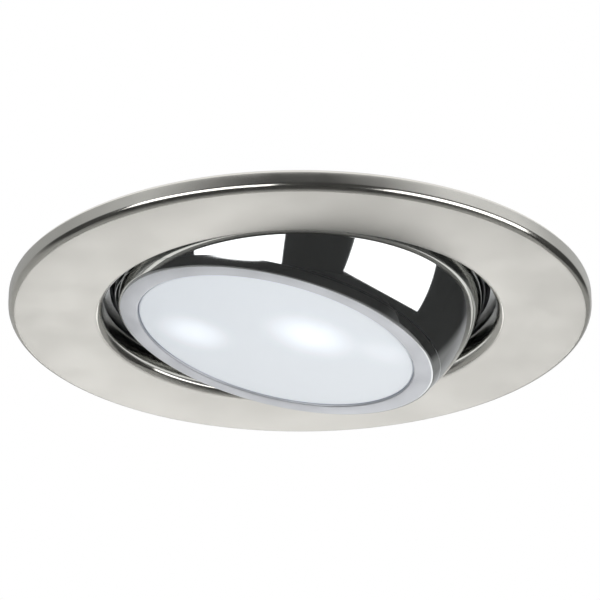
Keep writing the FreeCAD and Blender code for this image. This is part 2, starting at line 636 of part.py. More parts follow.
def make_heat_sink():
    """Die-cast heat sink: flange on the ball's ledge, pedestal for the board, slotted core behind."""
    sink = turned(
        (WIRE_HOLE_R, -PEDESTAL_DROP), (PEDESTAL_R, -PEDESTAL_DROP), (PEDESTAL_R, SINK_SEAT),
        (SINK_FLANGE_R, SINK_SEAT), (SINK_FLANGE_R, SINK_FLANGE_TOP, SOFT_EDGE),
        (CORE_R, SINK_FLANGE_TOP), (CORE_R, CORE_TOP, CORE_EDGE_R),
        (GROMMET_SEAT_R, CORE_TOP), (GROMMET_SEAT_R, CORE_TOP - GROMMET_SEAT),
        (WIRE_HOLE_R, CORE_TOP - GROMMET_SEAT))
    slot = Part.makeBox(2 * FIN_ROOT, FIN_T + 2 * FIT, 2 * CORE_HEIGHT,
                        V(CORE_R - FIN_ROOT, -FIN_T / 2 - FIT, SINK_FLANGE_TOP))
    for cutter in around(slot, FIN_COUNT):
        sink = sink.cut(cutter)
    hole = cylinder(SCREW_R + FIT, 2 * SINK_FLANGE_T,
                    V(SINK_SCREW_CIRCLE_R, 0, SINK_SEAT - SINK_FLANGE_T / 2), AXIS_Z)
    for cutter in around(hole, SINK_SCREW_COUNT, 45):
        sink = sink.cut(cutter)
    depth = SCREW_LENGTH - BOARD_T - PAD_T + SLIDE
    tapped = cylinder(SCREW_R + FIT, depth, V(0, 0, -PEDESTAL_DROP), AXIS_Z)
    for place in board_screw_places():
        sink = sink.cut(tapped.translated(place))
    return sink.removeSplitter()


def make_cooling_fins():
    """Group of aluminium plates that stand on the heat sink's flange, pressed into the core's slots."""
    root_r = CORE_R - FIN_ROOT
    fin = Part.Face(outline(
        (root_r, SINK_FLANGE_TOP), (FIN_R, SINK_FLANGE_TOP), (FIN_R, FIN_TOP - FIN_CHAMFER_H),
        (FIN_R - FIN_CHAMFER_R, FIN_TOP, FIN_CROWN_R), (CORE_R + FIN_STEP, FIN_TOP, FIN_STEP_R),
        (root_r, CORE_TOP - FIN_BELOW_CORE)))
    fin = fin.extrude(V(0, FIN_T, 0))
    fin.translate(V(0, -FIN_T / 2, 0))
    return Part.makeCompound(around(fin, FIN_COUNT))


def make_heat_sink_screws():
    screw = small_screw()
    screw.translate(V(SINK_SCREW_CIRCLE_R, 0, SINK_FLANGE_TOP))
    return Part.makeCompound(around(screw, SINK_SCREW_COUNT, 45))


def make_rear_seal():
    """Seal between the heat sink's pedestal and the ball's ledge."""
    return tube(LEDGE_BORE_R - SEAL_PLAY, PEDESTAL_R + SEAL_PLAY, LEDGE_BOTTOM + SEAL_PLAY,
                SINK_SEAT - SEAL_PLAY)


def make_cable_grommet():
    """Rubber grommet in the heat sink's core, where the supply cable goes in."""
    top = CORE_TOP + GROMMET_FLANGE_T
    bottom = CORE_TOP - GROMMET_SEAT + FIT
    seat = GROMMET_SEAT_R - FIT
    return turned((GROMMET_BORE_R, bottom), (seat, bottom), (seat, CORE_TOP), (GROMMET_FLANGE_R, CORE_TOP),
                  (GROMMET_FLANGE_R, top, GROMMET_EDGE_R), (GROMMET_BORE_R, top))


# ---- spring clips: fold about the pins -----------------------------------------------------------

def biarc(start, start_way, end, end_way):
    """Two arcs that leave start along start_way and reach end along end_way."""
    chord = end - start
    ways = start_way + end_way
    spread = 2 * (1 - start_way.dot(end_way))
    along = chord.dot(ways)
    reach = (math.sqrt(along * along + spread * chord.dot(chord)) - along) / spread
    first = start + start_way * reach
    last = end - end_way * reach
    join = (first + last) / 2
    return [bent_edge(start, first, join), bent_edge(join, last, end)]


def bent_edge(start, corner, end):
    """Arc from start to end, tangent at both to the lines that meet at corner."""
    middle = (start + end) / 2
    cosine = (middle - start).Length / (corner - start).Length
    return Part.Arc(start, middle + (corner - middle) * (cosine / (1 + cosine)), end).toShape()


def half_spring_path(side):
    """One coil of a spring and its half of the arm, about a pin through the origin along Y."""
    rise = COIL_PITCH / (2 * math.pi)

    def on_coil(turned_deg):
        angle = math.radians(180.0 - turned_deg)
        at = V(COIL_R * math.cos(angle), side * (COIL_START + rise * math.radians(turned_deg)),
               COIL_R * math.sin(angle))
        way = V(COIL_R * math.sin(angle), side * rise, -COIL_R * math.cos(angle)).normalize()
        return at, way

    total = 360.0 * COIL_TURNS + 90.0 - ARM_DEG
    steps = math.ceil(total / 90.0)
    places = [on_coil(total * i / steps) for i in range(steps + 1)]
    settle = 2 * WIRE_R
    first, first_way = places[0]
    last, last_way = places[-1]
    up = V(0, 0, 1)
    tail_join = first - up * settle
    tail_end = tail_join - up * (TAIL_LENGTH - settle)
    arm_way = V(last_way.x, 0, last_way.z).normalize()
    arm_join = last + arm_way * settle
    corner = last + arm_way * ARM_LENGTH
    middle = V(corner.x, 0, corner.z)
    bend = corner_arc(arm_join, corner, middle, ARM_BEND_R)
    edges = [Part.LineSegment(tail_end, tail_join).toShape()]
    edges += biarc(tail_join, up, first, first_way)
    for (here, here_way), (there, there_way) in zip(places, places[1:]):
        edges += biarc(here, here_way, there, there_way)
    edges += biarc(last, last_way, arm_join, arm_way)
    edges.append(Part.LineSegment(arm_join, bend[0]).toShape())
    edges.append(Part.Arc(*bend).toShape())
    edges.append(Part.LineSegment(bend[2], middle).toShape())
    return edges, tail_end, up, middle


def make_spring():
    """Wire clip of two coils and a U-shaped arm, one unbroken wire."""
    edges, start, way, middle = half_spring_path(1)
    other = half_spring_path(-1)[0]
    path = Part.Wire(Part.__sortEdges__(edges + other[::-1]))
    section = Part.Wire([Part.makeCircle(WIRE_R, start, way)])
    spring = path.makePipeShell([section], True, False)
    expected = math.pi * WIRE_R ** 2 * path.Length
    print("spring volume %.2f, section times length %.2f" % (spring.Volume, expected))
    print("least gap between turns %.2f mm" % least_gap(path))
    spring.translate(V(PIN_OUT, 0, PIN_UP))
    return spring, middle + V(PIN_OUT, 0, PIN_UP)


def least_gap(path):
    """Least clear distance of the wire to itself, measured on points at least half a turn apart."""
    step = 0.35
    points = path.discretize(Distance=step)
    apart = int(math.pi * COIL_R / step)
    nearest = min((points[i] - points[j]).Length
                  for i in range(len(points)) for j in range(i + apart, len(points)))
    return nearest - 2 * WIRE_R


def make_spring_sleeve(middle):
    """Plastic sleeve on the arm's cross-bar, which presses on the soffit board."""
    half = SLEEVE_LENGTH / 2
    sleeve = turned((WIRE_R + FIT, -half), (SLEEVE_R, -half, SOFT_EDGE), (SLEEVE_R, half, SOFT_EDGE),
                    (WIRE_R + FIT, half))
    sleeve.rotate(ORIGIN, AXIS_X, -90)
    sleeve.translate(middle)
    return sleeve


# ---- all the nodes -------------------------------------------------------------------------------

def build():
    spring, sleeve_middle = make_spring()
    sleeve = make_spring_sleeve(sleeve_middle)
    spring_pin = make_spring_pin()
    nodes = {
        "trim_bezel": make_trim_bezel(),
        "collar": make_collar(),
        "soffit_gasket": make_soffit_gasket(),
        "glide_ring": make_glide_ring(),
        "retaining_ring": make_retaining_ring(),
        "swivel_stop_pin": make_swivel_stop_pin(),
        "spring_pin_right": spring_pin,
        "spring_pin_left": opposite(spring_pin),
        "swivel_ring": make_swivel_ring(),
        "pivot_screw_far": make_pivot_screw(1),
        "pivot_screw_near": make_pivot_screw(-1),
        "wave_washer_far": make_wave_washer(1),
        "wave_washer_near": make_wave_washer(-1),
        "spring_right": spring,
        "spring_left": opposite(spring),
        "spring_sleeve_right": sleeve,
        "spring_sleeve_left": opposite(sleeve),
    }
    ball_nodes = {
        "eyeball_shell": make_eyeball_shell(),
        "pivot_bush_far": make_pivot_bush(1),
        "pivot_bush_near": make_pivot_bush(-1),
        "front_ring": make_front_ring(),
        "front_glass": make_front_glass(),
        "glass_gasket": make_glass_gasket(),
        "reflector": make_reflector(),
        "led_emitters": make_led_emitters(),
        "led_board": make_led_board(),
        "led_board_screws": make_led_board_screws(),
        "thermal_pad": make_thermal_pad(),
        "heat_sink": make_heat_sink(),
        "cooling_fins": make_cooling_fins(),
        "heat_sink_screws": make_heat_sink_screws(),
        "rear_seal": make_rear_seal(),
        "cable_grommet": make_cable_grommet(),
    }
    for name, shape in ball_nodes.items():
        nodes[name] = seated_in_ball(shape)
    return nodes


def main():
    os.makedirs("parts", exist_ok=True)
    for name, shape in build().items():
        shape.exportStep("parts/%s.step" % name)
        print("%-22s solids %d  valid %s  volume %10.2f" % (name, len(shape.Solids), shape.isValid(),
                                                            shape.Volume))


main()
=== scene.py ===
# %% [markdown]
# # A recessed soffit downlight, seen from below
# The light is a pressed metal flange with a chromed ball in it. The ball holds a frosted glass and
# tilts, so the beam can be aimed. Everything above the flange is hidden once it is fitted: a die-cast
# collar, two spring clips and the heat sink on the back of the ball. We dress the whole of it, the
# hidden side too.
#
# Cells are short, and each starts with what the piece is on the real light. Run them in order.

# %% Load the frame
import bmesh
import bpy
import json
import math
from mathutils import Matrix, Quaternion, Vector


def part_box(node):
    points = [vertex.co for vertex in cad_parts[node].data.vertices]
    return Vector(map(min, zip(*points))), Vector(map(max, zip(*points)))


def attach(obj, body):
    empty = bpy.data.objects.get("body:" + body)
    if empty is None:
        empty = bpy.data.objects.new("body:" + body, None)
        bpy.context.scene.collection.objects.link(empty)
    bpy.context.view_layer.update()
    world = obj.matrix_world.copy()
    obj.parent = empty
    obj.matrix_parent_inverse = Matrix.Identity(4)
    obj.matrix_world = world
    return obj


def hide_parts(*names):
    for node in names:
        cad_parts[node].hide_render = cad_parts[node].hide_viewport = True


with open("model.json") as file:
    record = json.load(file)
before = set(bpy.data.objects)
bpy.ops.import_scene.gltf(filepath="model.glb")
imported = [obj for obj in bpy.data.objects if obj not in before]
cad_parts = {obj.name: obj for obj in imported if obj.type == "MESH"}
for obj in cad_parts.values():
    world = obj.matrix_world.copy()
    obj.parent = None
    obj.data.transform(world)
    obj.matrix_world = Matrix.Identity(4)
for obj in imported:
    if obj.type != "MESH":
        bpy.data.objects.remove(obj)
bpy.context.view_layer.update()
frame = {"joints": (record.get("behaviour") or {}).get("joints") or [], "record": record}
MM = 0.001

# %% [markdown]
# ## Where things are
# The frame gives the places. The ball turns about the tilt joint, and the cable inlet's axis, which
# runs through the back of the ball, says how far it is tilted. Pieces of the ball are modelled upright
# about that pivot, like on a lathe, and tilted when they are done.

# %% Places from the frame
joints = {joint["name"]: joint for joint in frame["joints"]}
mounts = {mount["name"]: mount for mount in frame["record"]["mounts"]}
pivot = Vector(joints["ball_tilt"]["pos_m"])
inlet_axis = Vector(mounts["cable_inlet"]["axis"])
tilt = math.atan2(inlet_axis.x, inlet_axis.z)
ball_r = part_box("eyeball_shell")[1][1]
print("pivot %.2f mm above the soffit, tilt %.2f degrees" % (pivot.z / MM, math.degrees(tilt)))

# %% [markdown]
# ## The camera
# The photograph looks up at the flange at 25 degrees from 0.48 m away. The lens is long, so the flange
# shows as a flat oval. The picture is square, and 6.45 of its pixels cover a millimetre at the flange.

# %% Camera
camera_distance = 0.480
camera_up_angle = math.radians(25.15)
pixels_per_mm = 6.449
picture_width = 600
sensor_width = 36.0
look = Vector((0, math.cos(camera_up_angle), math.sin(camera_up_angle)))
camera_up = Vector((0, -math.sin(camera_up_angle), math.cos(camera_up_angle)))
camera_rise = 0.50 * MM

camera_data = bpy.data.cameras.new("photo_camera")
camera_data.sensor_width = sensor_width
camera_data.lens = pixels_per_mm / MM * camera_distance / picture_width * sensor_width
camera_data.clip_start = 0.01
camera_data.clip_end = 100.0
camera = bpy.data.objects.new("photo_camera", camera_data)
bpy.context.collection.objects.link(camera)
camera.location = -look * camera_distance + camera_up * camera_rise
camera.rotation_euler = look.to_track_quat("-Z", "Y").to_euler()
bpy.context.scene.camera = camera
bpy.context.scene.view_settings.view_transform = "Standard"
print("lens %.1f mm" % camera_data.lens)

# %% [markdown]
# ## Materials: a few words first
# Every colour is written as the hex value a picture editor shows, and one function turns it to the
# linear light that the renderer counts in. A second small function adds a node with its settings and
# its links.

# %% Colour and node helpers
def linear(hex_colour):
    """Linear RGBA of an sRGB colour such as "C8C6C0"."""
    channels = [int(hex_colour[i:i + 2], 16) / 255 for i in (0, 2, 4)]
    return [c / 12.92 if c <= 0.04045 else ((c + 0.055) / 1.055) ** 2.4 for c in channels] + [1.0]


def add_node(tree, kind, inputs=None, **settings):
    """Adds a node. An input is a plain value or the socket it is linked from."""
    node = tree.nodes.new(kind)
    for name, value in settings.items():
        setattr(node, name, value)
    for name, value in (inputs or {}).items():
        if isinstance(value, bpy.types.NodeSocket):
            tree.links.new(value, node.inputs[name])
        else:
            node.inputs[name].default_value = value
    return node


def start_material(name, colour, metallic, roughness, **shader_values):
    """A Principled material, with the values that are the same all over set on the shader itself."""
    material = bpy.data.materials.new(name)
    material.use_nodes = True
    tree = material.node_tree
    shader = tree.nodes["Principled BSDF"]
    shader.inputs["Base Color"].default_value = linear(colour)
    shader.inputs["Metallic"].default_value = metallic
    shader.inputs["Roughness"].default_value = roughness
    for label, value in shader_values.items():
        shader.inputs[label.replace("_", " ")].default_value = value
    return material, tree, shader


def per_metre(size_mm):
    """Noise scale whose blotches are about this many millimetres across."""
    return 1.0 / (size_mm * MM)


print("middle grey in linear light:", [round(c, 3) for c in linear("808080")])

# %% [markdown]
# ## The studio
# A recessed light is fitted in a board, so white is all round it. The board is seen only from below.
# From above it lets everything through, so that the hidden side can be looked at, and it is left out of
# reflections. A pale floor lies far below. The floor and the room show plain white to the camera and in
# the metal alike.

# %% White board, floor and room
def where_seen(tree):
    """One where the camera, a mirror or a glass looks, and zero where diffuse light is gathered."""
    path = add_node(tree, "ShaderNodeLightPath")
    mirror = add_node(tree, "ShaderNodeMath", {0: path.outputs["Is Glossy Ray"],
                                               1: path.outputs["Is Transmission Ray"]}, operation="MAXIMUM")
    seen = add_node(tree, "ShaderNodeMath", {0: path.outputs["Is Camera Ray"], 1: mirror.outputs[0]},
                    operation="MAXIMUM")
    return seen.outputs[0]


def white_where_seen(tree, diffuse_colour, seen_colour):
    """A diffuse surface that shows plain white to the camera and in mirrors and glass."""
    lit = add_node(tree, "ShaderNodeBsdfDiffuse", {"Color": linear(diffuse_colour)})
    plain = add_node(tree, "ShaderNodeEmission", {"Color": linear(seen_colour), "Strength": 1.0})
    return add_node(tree, "ShaderNodeMixShader",
                    {0: where_seen(tree), 1: lit.outputs[0], 2: plain.outputs[0]})


def stage_material(name, diffuse_colour, seen_colour, one_sided):
    """A matt surface for the board or the floor, which shows plain white where it is looked at."""
    material = bpy.data.materials.new(name)
    material.use_nodes = True
    tree = material.node_tree
    tree.nodes.remove(tree.nodes["Principled BSDF"])
    shown = white_where_seen(tree, diffuse_colour, seen_colour)
    # Seen from its back, a one-sided surface is clear.
    if one_sided:
        side = add_node(tree, "ShaderNodeNewGeometry")
        clear = add_node(tree, "ShaderNodeBsdfTransparent")
        shown = add_node(tree, "ShaderNodeMixShader",
                         {0: side.outputs["Backfacing"], 1: shown.outputs[0], 2: clear.outputs[0]})
    tree.links.new(shown.outputs[0], tree.nodes["Material Output"].inputs["Surface"])
    return material


def nothing_selected():
    """Leaves edit mode and deselects all, because an operator acts on all that is selected."""
    if bpy.context.object and bpy.context.object.mode != "OBJECT":
        bpy.ops.object.mode_set(mode="OBJECT")
    bpy.ops.object.select_all(action="DESELECT")


cutout_play = 1.0
cutout_r = (mounts["cutout_spigot"]["dims"]["r_mm"] + cutout_play) * MM
board_r = 3.0
board_rise = 0.05 * MM
nothing_selected()
bpy.ops.mesh.primitive_circle_add(vertices=96, radius=cutout_r, fill_type="NOTHING",
                                  location=(0, 0, board_rise))
soffit_board = bpy.context.object
soffit_board.name = "soffit_board"
bpy.ops.object.mode_set(mode="EDIT")
bpy.ops.mesh.select_all(action="SELECT")
bpy.ops.mesh.extrude_edges_move()
bpy.ops.transform.resize(value=(board_r / cutout_r, board_r / cutout_r, 1))
bpy.ops.mesh.select_all(action="SELECT")
bpy.ops.mesh.normals_make_consistent(inside=False)
bpy.ops.object.mode_set(mode="OBJECT")
if soffit_board.data.polygons[0].normal.z > 0:
    soffit_board.data.flip_normals()
soffit_board.data.materials.append(stage_material("white_soffit_board", "F0F0EE", "FFFFFF", True))
soffit_board.visible_glossy = False

floor_drop = 1.2
floor_width = 40.0
nothing_selected()
bpy.ops.mesh.primitive_plane_add(size=floor_width, location=(0, 0, -floor_drop))
floor = bpy.context.object
floor.name = "studio_floor"
floor.data.materials.append(stage_material("pale_floor", "F2F2F0", "FDFDFD", False))

world = bpy.data.worlds.new("white_room")
bpy.context.scene.world = world
world.use_nodes = True
tree = world.node_tree
room_light = tree.nodes["Background"]
room_light.inputs["Color"].default_value = linear("F4F5F6")
room_light.inputs["Strength"].default_value = 0.85
room_seen = add_node(tree, "ShaderNodeBackground", {"Color": linear("FDFDFD"), "Strength": 1.0})
room = add_node(tree, "ShaderNodeMixShader",
                {0: where_seen(tree), 1: room_light.outputs[0], 2: room_seen.outputs[0]})
tree.links.new(room.outputs[0], tree.nodes["World Output"].inputs["Surface"])

# %% [markdown]
# ## Light on chrome
# Chrome shows the room, so a photographer builds the room for it. The light hangs in a drum of paper,
# dark below and round the camera, white at the right and pale grey at the left and behind. Two
# softboxes stand low at the camera's sides, and a wide strip of light behind the object gives the satin
# face its even sheen. The ball shows the dark paper as deep grey and the softboxes as two white
# windows. The paper is seen by the metal only, and holds back none of the soft light.

# %% Softboxes
def direction(side_angle, up_angle):
    """Unit vector. The side angle is from straight towards the camera, to the right."""
    a, e = math.radians(side_angle), math.radians(up_angle)
    return Vector((math.sin(a) * math.cos(e), -math.cos(a) * math.cos(e), math.sin(e)))


def add_softbox(name, side_angle, up_angle, width, height, brightness, distance=0.9, roll=0.0):
    """An area light that faces the pivot. Sizes are metres, and the roll turns it in its own plane."""
    data = bpy.data.lights.new(name, "AREA")
    data.shape = "RECTANGLE"
    data.size = width
    data.size_y = height
    data.energy = brightness * math.pi * width * height
    box = bpy.data.objects.new(name, data)
    bpy.context.collection.objects.link(box)
    towards = direction(side_angle, up_angle)
    box.location = pivot + towards * distance
    facing = (-towards).to_track_quat("-Z", "Y") @ Quaternion((0, 0, 1), math.radians(roll))
    box.rotation_euler = facing.to_euler()
    box.visible_camera = False
    print("%s: %.0f by %.0f cm, %.1f W" % (name, width * 100, height * 100, data.energy))
    return box


add_softbox("softbox_left", -38, -17, 0.92, 0.34, 2.6, roll=-22)
add_softbox("softbox_right", 64, -24, 0.98, 0.42, 2.6, roll=8)
add_softbox("strip_behind", 180, -26, 0.76, 0.66, 1.26, distance=1.3)

# %% [markdown]
# ## Drum
# The paper hangs from a hoop as one round wall, standing on a cloth. A cylinder without its lid gives
# both, and its rim is pulled up so that the upper side of the light has paper round it too.

# %% Drum of paper round the light
drum_r = 1.5
drum_depth = 1.18
wall_above = 0.95
drum_step = 3.0
just_below_rim = -0.01

nothing_selected()
bpy.ops.mesh.primitive_cylinder_add(vertices=round(360 / drum_step), radius=drum_r, depth=drum_depth,
                                    end_fill_type="NGON", location=(0, 0, -drum_depth / 2))
drum = bpy.context.object
drum.name = "paper_drum"
bpy.ops.object.transform_apply(location=True, rotation=True)
bpy.ops.object.mode_set(mode="EDIT")
bpy.ops.mesh.select_mode(type="FACE")
mesh = bmesh.from_edit_mesh(drum.data)
for face in mesh.faces:
    face.select_set(face.normal.z > 0.5)
bpy.ops.mesh.delete(type="ONLY_FACE")
bpy.ops.mesh.select_mode(type="EDGE")
mesh = bmesh.from_edit_mesh(drum.data)
for edge in mesh.edges:
    edge.select_set(min(edge.verts[0].co.z, edge.verts[1].co.z) > just_below_rim)
bpy.ops.mesh.extrude_edges_move(TRANSFORM_OT_translate={"value": (0, 0, wall_above)})
bpy.ops.object.mode_set(mode="OBJECT")

# %% [markdown]
# ## Shades of the paper
# A radial gradient counts the turn round the drum, and a colour ramp gives each direction its shade.
# There is one ramp for the wall below the soffit and one for the wall above it, and they melt into each
# other. Graded paper is what makes a polished edge run softly from light to dark. A single grey would
# leave it flat.

# %% Graded paper on the wall
climb = 0.28
full_turn = 360.0
paper, tree, shader = start_material("studio_paper_graded", "808080", 0.0, 1.0)
place = add_node(tree, "ShaderNodeTexCoord")
turned = add_node(tree, "ShaderNodeMapping", {"Vector": place.outputs["Object"],
                                              "Rotation": (0, 0, math.radians(90))})
side = add_node(tree, "ShaderNodeTexGradient", {"Vector": turned.outputs[0]}, gradient_type="RADIAL")
spot_on_wall = add_node(tree, "ShaderNodeSeparateXYZ", {0: place.outputs["Object"]})
upwards = add_node(tree, "ShaderNodeMapRange", {"Value": spot_on_wall.outputs["Z"], "From Max": climb},
                   interpolation_type="SMOOTHSTEP")


def shades_by_side(*stops):
    """A ramp round the drum. A stop is degrees to the right of straight towards the camera, and a colour."""
    ramp = add_node(tree, "ShaderNodeValToRGB", {"Fac": side.outputs["Fac"]})
    elements = ramp.color_ramp.elements
    elements.remove(elements[1])
    elements[0].position = stops[0][0] / full_turn + 0.5
    elements[0].color = linear(stops[0][1])
    for degrees, colour in stops[1:]:
        elements.new(degrees / full_turn + 0.5).color = linear(colour)
    return ramp.outputs["Color"]


below = shades_by_side((-150, "CFCFCF"), (-118, "B4B4B4"), (-104, "4D4D4D"), (136, "4D4D4D"),
                       (144, "B8B8B8"))
above = shades_by_side((-100, "BABABA"), (-60, "DEDEDE"), (-22, "707070"), (-10, "5B5B5B"), (12, "5B5B5B"),
                       (30, "9A9A9A"), (58, "FFFFFF"), (90, "FFFFFF"), (115, "D2D2D2"))
shade = add_node(tree, "ShaderNodeMix", {0: upwards.outputs["Result"], 6: below, 7: above},
                 data_type="RGBA")
tree.links.new(shade.outputs[2], shader.inputs["Base Color"])

# %% Cloth on the drum's floor, darker towards the camera
dark_until_y = -0.4
pale_from_y = 0.9
drum_floor, tree, shader = start_material("studio_floor_cloth", "707070", 0.0, 1.0)
place = add_node(tree, "ShaderNodeTexCoord")
spot_on_floor = add_node(tree, "ShaderNodeSeparateXYZ", {0: place.outputs["Object"]})
towards_back = add_node(tree, "ShaderNodeMapRange",
                        {"Value": spot_on_floor.outputs["Y"], "From Min": dark_until_y,
                         "From Max": pale_from_y}, interpolation_type="SMOOTHSTEP")
floor_shade = add_node(tree, "ShaderNodeMix", {0: towards_back.outputs["Result"], 6: linear("4D4D4D"),
                                               7: linear("BEBEBE")}, data_type="RGBA")
tree.links.new(floor_shade.outputs[2], shader.inputs["Base Color"])

# %% The drum is seen in reflections only
for material in (paper, drum_floor):
    drum.data.materials.append(material)
for face in drum.data.polygons:
    face.material_index = 1 if abs(face.normal.z) > 0.5 else 0
drum.visible_camera = False
drum.visible_diffuse = False
drum.visible_shadow = False
drum.visible_transmission = False
print("stage:", [o.name for o in (soffit_board, floor, drum)])

# %% [markdown]
# ## A lathe
# Nearly all of this light is turned or spun: flange, ball, ring and glass are round about one axis. So
# we draw half a section as by hand, from one point extruded on and on. Its corners are rounded by
# bevelling the points, and the line is spun about the Z axis. A closed line gives a closed solid, and a
# line that starts and ends on the axis does too.

# %% Drawing a section and spinning it
weld_distance = 0.001 * MM
smooth_angle = math.radians(35)


def select_points(piece, places):
    """Selects the points of the mesh in edit mode that lie at the given places."""
    bpy.context.tool_settings.mesh_select_mode = (True, False, False)
    bpy.ops.mesh.select_all(action="DESELECT")
    mesh = bmesh.from_edit_mesh(piece.data)
    for place in places:
        nearest = min(mesh.verts, key=lambda point: (point.co - place).length)
        nearest.select = True
    mesh.select_flush(True)
    bmesh.update_edit_mesh(piece.data)


def on_lathe(name, corners, segments=192, rounding_steps=6):
    """A piece turned about Z. The corners of its section are (radius, height, rounding) in millimetres."""
    places = [Vector((corner[0], 0, corner[1])) * MM for corner in corners]
    nothing_selected()
    bpy.ops.mesh.primitive_plane_add(size=MM, location=(0, 0, 0))
    piece = bpy.context.object
    piece.name = name
    bpy.ops.object.mode_set(mode="EDIT")
    bpy.ops.mesh.select_mode(type="VERT")
    bpy.ops.mesh.select_all(action="SELECT")
    bpy.ops.mesh.merge(type="CENTER")
    bpy.ops.transform.translate(value=places[0])
    for here, there in zip(places, places[1:]):
        bpy.ops.mesh.extrude_vertices_move(TRANSFORM_OT_translate={"value": there - here})
    if corners[0][0] > 0:
        select_points(piece, [places[0], places[-1]])
        bpy.ops.mesh.edge_face_add()
    for i, corner in enumerate(corners):
        if len(corner) > 2:
            to_before = (places[i - 1] - places[i]).normalized()
            to_after = (places[(i + 1) % len(places)] - places[i]).normalized()
            setback = corner[2] * MM / math.tan(to_before.angle(to_after) / 2)
            select_points(piece, [places[i]])
            bpy.ops.mesh.bevel(affect="VERTICES", offset=setback, segments=rounding_steps,
                               clamp_overlap=False)
    bpy.ops.mesh.select_all(action="SELECT")
    bpy.ops.mesh.spin(steps=segments, angle=2 * math.pi, center=(0, 0, 0), axis=(0, 0, 1))
    bpy.ops.mesh.select_all(action="SELECT")
    bpy.ops.mesh.remove_doubles(threshold=weld_distance)
    bpy.ops.mesh.normals_make_consistent(inside=False)
    bpy.ops.object.mode_set(mode="OBJECT")
    bpy.ops.object.shade_smooth_by_angle(angle=smooth_angle)
    return piece


def arc(middle_r, middle_z, radius, start_deg, end_deg, count):
    """Points of a round stretch, in millimetres. The angle is from straight out, towards up."""
    angles = [math.radians(start_deg + (end_deg - start_deg) * i / count) for i in range(count + 1)]
    return [(middle_r + radius * math.cos(a), middle_z + radius * math.sin(a)) for a in angles]


def tilt_into_place(piece):
    """Seats a piece of the ball that was modelled upright about the pivot."""
    nothing_selected()
    bpy.context.view_layer.objects.active = piece
    piece.select_set(True)
    piece.rotation_euler = (0, tilt, 0)
    piece.location = pivot
    bpy.ops.object.transform_apply(location=True, rotation=True, scale=True)


def settle(piece, body, slot, *replaced):
    """Hangs the piece on the body it rides on and hides the CAD nodes it stands for. The slot is not used.
    """
    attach(piece, body)
    if replaced:
        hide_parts(*replaced)
    triangles = sum(len(face.vertices) - 2 for face in piece.data.polygons)
    print("%s: %d triangles, on %s" % (piece.name, triangles, body))


# %% [markdown]
# ## Measuring the CAD pieces
# A new piece has to lie where the CAD one lies. We read radii and heights off the CAD meshes: straight
# from the Z axis for the housing, and for the pieces of the ball from the pivot, after undoing the
# tilt.

# %% Radii and heights in millimetres
untilt = (Matrix.Translation(pivot) @ Matrix.Rotation(tilt, 4, "Y")).inverted()


def measure(node, upright=False):
    """Least radius, greatest radius, lowest and highest point of a CAD node, in millimetres."""
    points = [point.co for point in bpy.data.objects[node].data.vertices]
    if upright:
        points = [untilt @ point for point in points]
    radii = [math.hypot(point.x, point.y) / MM for point in points]
    heights = [point.z / MM for point in points]
    return min(radii), max(radii), min(heights), max(heights)


hole_r, flange_r, face_z, lip_top = measure("trim_bezel")
lens_rim_r, lens_front = measure("front_glass", upright=True)[1:3]
skirt_inside_r, ring_r, ring_front, ring_back = measure("front_ring", upright=True)
print("hole %.2f, flange %.2f, face at %.2f, ring front at %.2f" % (hole_r, flange_r, face_z, ring_front))

# %% [markdown]
# ## The flange
# A disc of 1 mm steel sheet, deep-drawn so that its edge turns back to the soffit and its neck goes up
# through the hole. The neck is spun out over the collar's ledge, which locks the two together. The face
# is bead-blasted under a mask before plating, so it comes out satin, and the rounded edge and the roll
# of the hole stay bright. Polished edges are where the light runs in lines, so their roundings are
# modelled and not painted.

# %% Satin and polished plating
def fine_bumps(tree, shader, size_mm, height_mm, detail=3.0, stretch=(1, 1, 1)):
    """Surface relief of that size and height, in the object's own coordinates."""
    place = add_node(tree, "ShaderNodeTexCoord")
    squeezed = add_node(tree, "ShaderNodeMapping", {"Vector": place.outputs["Object"], "Scale": stretch})
    noise = add_node(tree, "ShaderNodeTexNoise", {"Vector": squeezed.outputs[0], "Scale": per_metre(size_mm),
                                                  "Detail": detail})
    bump = add_node(tree, "ShaderNodeBump", {"Height": noise.outputs["Fac"], "Strength": 1.0,
                                             "Distance": height_mm * MM})
    tree.links.new(bump.outputs["Normal"], shader.inputs["Normal"])
    return noise


def patchy_roughness(tree, shader, size_mm, least, most):
    """Roughness that drifts between two values in soft patches."""
    place = add_node(tree, "ShaderNodeTexCoord")
    noise = add_node(tree, "ShaderNodeTexNoise",
                     {"Vector": place.outputs["Object"], "Scale": per_metre(size_mm),
                                                  "Detail": 2.0})
    spread = add_node(tree, "ShaderNodeMapRange", {"Value": noise.outputs["Fac"], "From Min": 0.3,
                                                   "From Max": 0.7, "To Min": least, "To Max": most})
    tree.links.new(spread.outputs["Result"], shader.inputs["Roughness"])


# Nickel plate over steel that was blasted with fine glass beads: a soft, warm grey sheen, and no mirror.
satin_nickel, tree, shader = start_material("satin_nickel_bead_blasted", "DAD8D3", 1.0, 0.46)
fine_bumps(tree, shader, 0.25, 0.0008)
patchy_roughness(tree, shader, 9.0, 0.44, 0.49)

# The same plate, buffed with a cloth wheel: a warm, slightly hazy mirror that softens lines of light.
polished_nickel, tree, shader = start_material("nickel_plate_buffed", "E1DFD9", 1.0, 0.13)
patchy_roughness(tree, shader, 5.0, 0.11, 0.16)

print("plating: %s on the face, %s on the edges" % (satin_nickel.name, polished_nickel.name))

# %% [markdown]
# ## Its section
# The sheet is drawn as one closed line: hole, face, shoulder, edge, back, neck and the lip on top. Each
# bend has the radius that a press tool of its kind leaves, so a highlight runs round it without a break.

